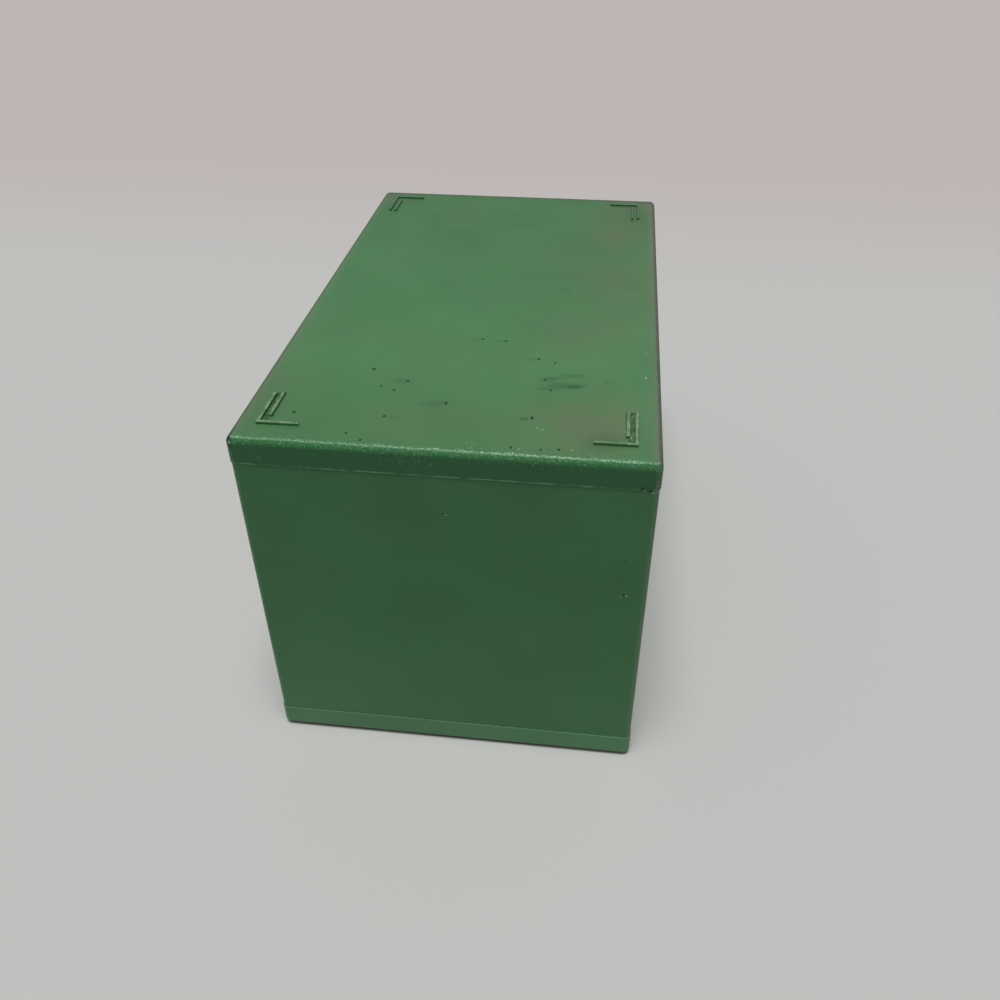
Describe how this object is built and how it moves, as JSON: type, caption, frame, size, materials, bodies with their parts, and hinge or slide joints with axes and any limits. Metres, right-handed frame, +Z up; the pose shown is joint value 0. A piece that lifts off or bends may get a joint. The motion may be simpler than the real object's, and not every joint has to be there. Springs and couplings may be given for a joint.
{
  "type": "parts drawer organizer",
  "caption": "Bench-top cabinet for small parts: a closed green plastic shell with clear, divided drawers that slide out at the front and stop before they fall out.",
  "frame": {"origin": "on the table, under the middle of the cabinet's whole box, pulls included", "axes": "+Z up; the drawers face and slide towards -Y; +X to the right of someone who faces the drawers"},
  "size_m": [0.26, 0.1604, 0.1527],
  "materials": {
    "green_shell": "fine moulded grain, satin, with light dirt and edge wear",
    "clear_drawer": "clear injection-moulded styrene, glossy, with faint haze and scuffs",
    "clear_divider": "clear moulded styrene sheet, glossy",
    "label_card": "blank uncoated card"
  },
  "bodies": {
    "cabinet": {"top_cover": "green_shell", "base": "green_shell", "right_end_panel": "green_shell", "left_end_panel": "green_shell", "back_panel": "green_shell", "partition_1": "green_shell", "partition_2": "green_shell", "partition_3": "green_shell", "shelf_1": "green_shell", "shelf_2": "green_shell"},
    "drawer_unit_bottom_1": {"drawer_bottom_1": "clear_drawer", "divider_bottom_1": "clear_divider", "label_card_bottom_1": "label_card"},
    "drawer_unit_bottom_2": {"drawer_bottom_2": "clear_drawer", "divider_bottom_2": "clear_divider", "label_card_bottom_2": "label_card"},
    "drawer_unit_bottom_3": {"drawer_bottom_3": "clear_drawer", "divider_bottom_3": "clear_divider", "label_card_bottom_3": "label_card"},
    "drawer_unit_bottom_4": {"drawer_bottom_4": "clear_drawer", "divider_bottom_4": "clear_divider", "label_card_bottom_4": "label_card"},
    "drawer_unit_middle_1": {"drawer_middle_1": "clear_drawer", "divider_middle_1": "clear_divider", "label_card_middle_1": "label_card"},
    "drawer_unit_middle_2": {"drawer_middle_2": "clear_drawer", "divider_middle_2": "clear_divider", "label_card_middle_2": "label_card"},
    "drawer_unit_middle_3": {"drawer_middle_3": "clear_drawer", "divider_middle_3": "clear_divider", "label_card_middle_3": "label_card"},
    "drawer_unit_middle_4": {"drawer_middle_4": "clear_drawer", "divider_middle_4": "clear_divider", "label_card_middle_4": "label_card"},
    "drawer_unit_top_1": {"drawer_top_1": "clear_drawer", "divider_top_1": "clear_divider", "label_card_top_1": "label_card"},
    "drawer_unit_top_2": {"drawer_top_2": "clear_drawer", "divider_top_2": "clear_divider", "label_card_top_2": "label_card"},
    "drawer_unit_top_3": {"drawer_top_3": "clear_drawer", "divider_top_3": "clear_divider", "label_card_top_3": "label_card"},
    "drawer_unit_top_4": {"drawer_top_4": "clear_drawer", "divider_top_4": "clear_divider", "label_card_top_4": "label_card"}
  },
  "joints": [
    {"name": "drawer_slide_bottom_1", "type": "slide", "parent": "cabinet", "child": "drawer_unit_bottom_1", "axis": [0, -1, 0], "range_m": [0, 0.115]},
    {"name": "drawer_slide_bottom_2", "type": "slide", "parent": "cabinet", "child": "drawer_unit_bottom_2", "axis": [0, -1, 0], "range_m": [0, 0.115]},
    {"name": "drawer_slide_bottom_3", "type": "slide", "parent": "cabinet", "child": "drawer_unit_bottom_3", "axis": [0, -1, 0], "range_m": [0, 0.115]},
    {"name": "drawer_slide_bottom_4", "type": "slide", "parent": "cabinet", "child": "drawer_unit_bottom_4", "axis": [0, -1, 0], "range_m": [0, 0.115]},
    {"name": "drawer_slide_middle_1", "type": "slide", "parent": "cabinet", "child": "drawer_unit_middle_1", "axis": [0, -1, 0], "range_m": [0, 0.115]},
    {"name": "drawer_slide_middle_2", "type": "slide", "parent": "cabinet", "child": "drawer_unit_middle_2", "axis": [0, -1, 0], "range_m": [0, 0.115]},
    {"name": "drawer_slide_middle_3", "type": "slide", "parent": "cabinet", "child": "drawer_unit_middle_3", "axis": [0, -1, 0], "range_m": [0, 0.115]},
    {"name": "drawer_slide_middle_4", "type": "slide", "parent": "cabinet", "child": "drawer_unit_middle_4", "axis": [0, -1, 0], "range_m": [0, 0.115]},
    {"name": "drawer_slide_top_1", "type": "slide", "parent": "cabinet", "child": "drawer_unit_top_1", "axis": [0, -1, 0], "range_m": [0, 0.115]},
    {"name": "drawer_slide_top_2", "type": "slide", "parent": "cabinet", "child": "drawer_unit_top_2", "axis": [0, -1, 0], "range_m": [0, 0.115]},
    {"name": "drawer_slide_top_3", "type": "slide", "parent": "cabinet", "child": "drawer_unit_top_3", "axis": [0, -1, 0], "range_m": [0, 0.115]},
    {"name": "drawer_slide_top_4", "type": "slide", "parent": "cabinet", "child": "drawer_unit_top_4", "axis": [0, -1, 0], "range_m": [0, 0.115]}
  ]
}
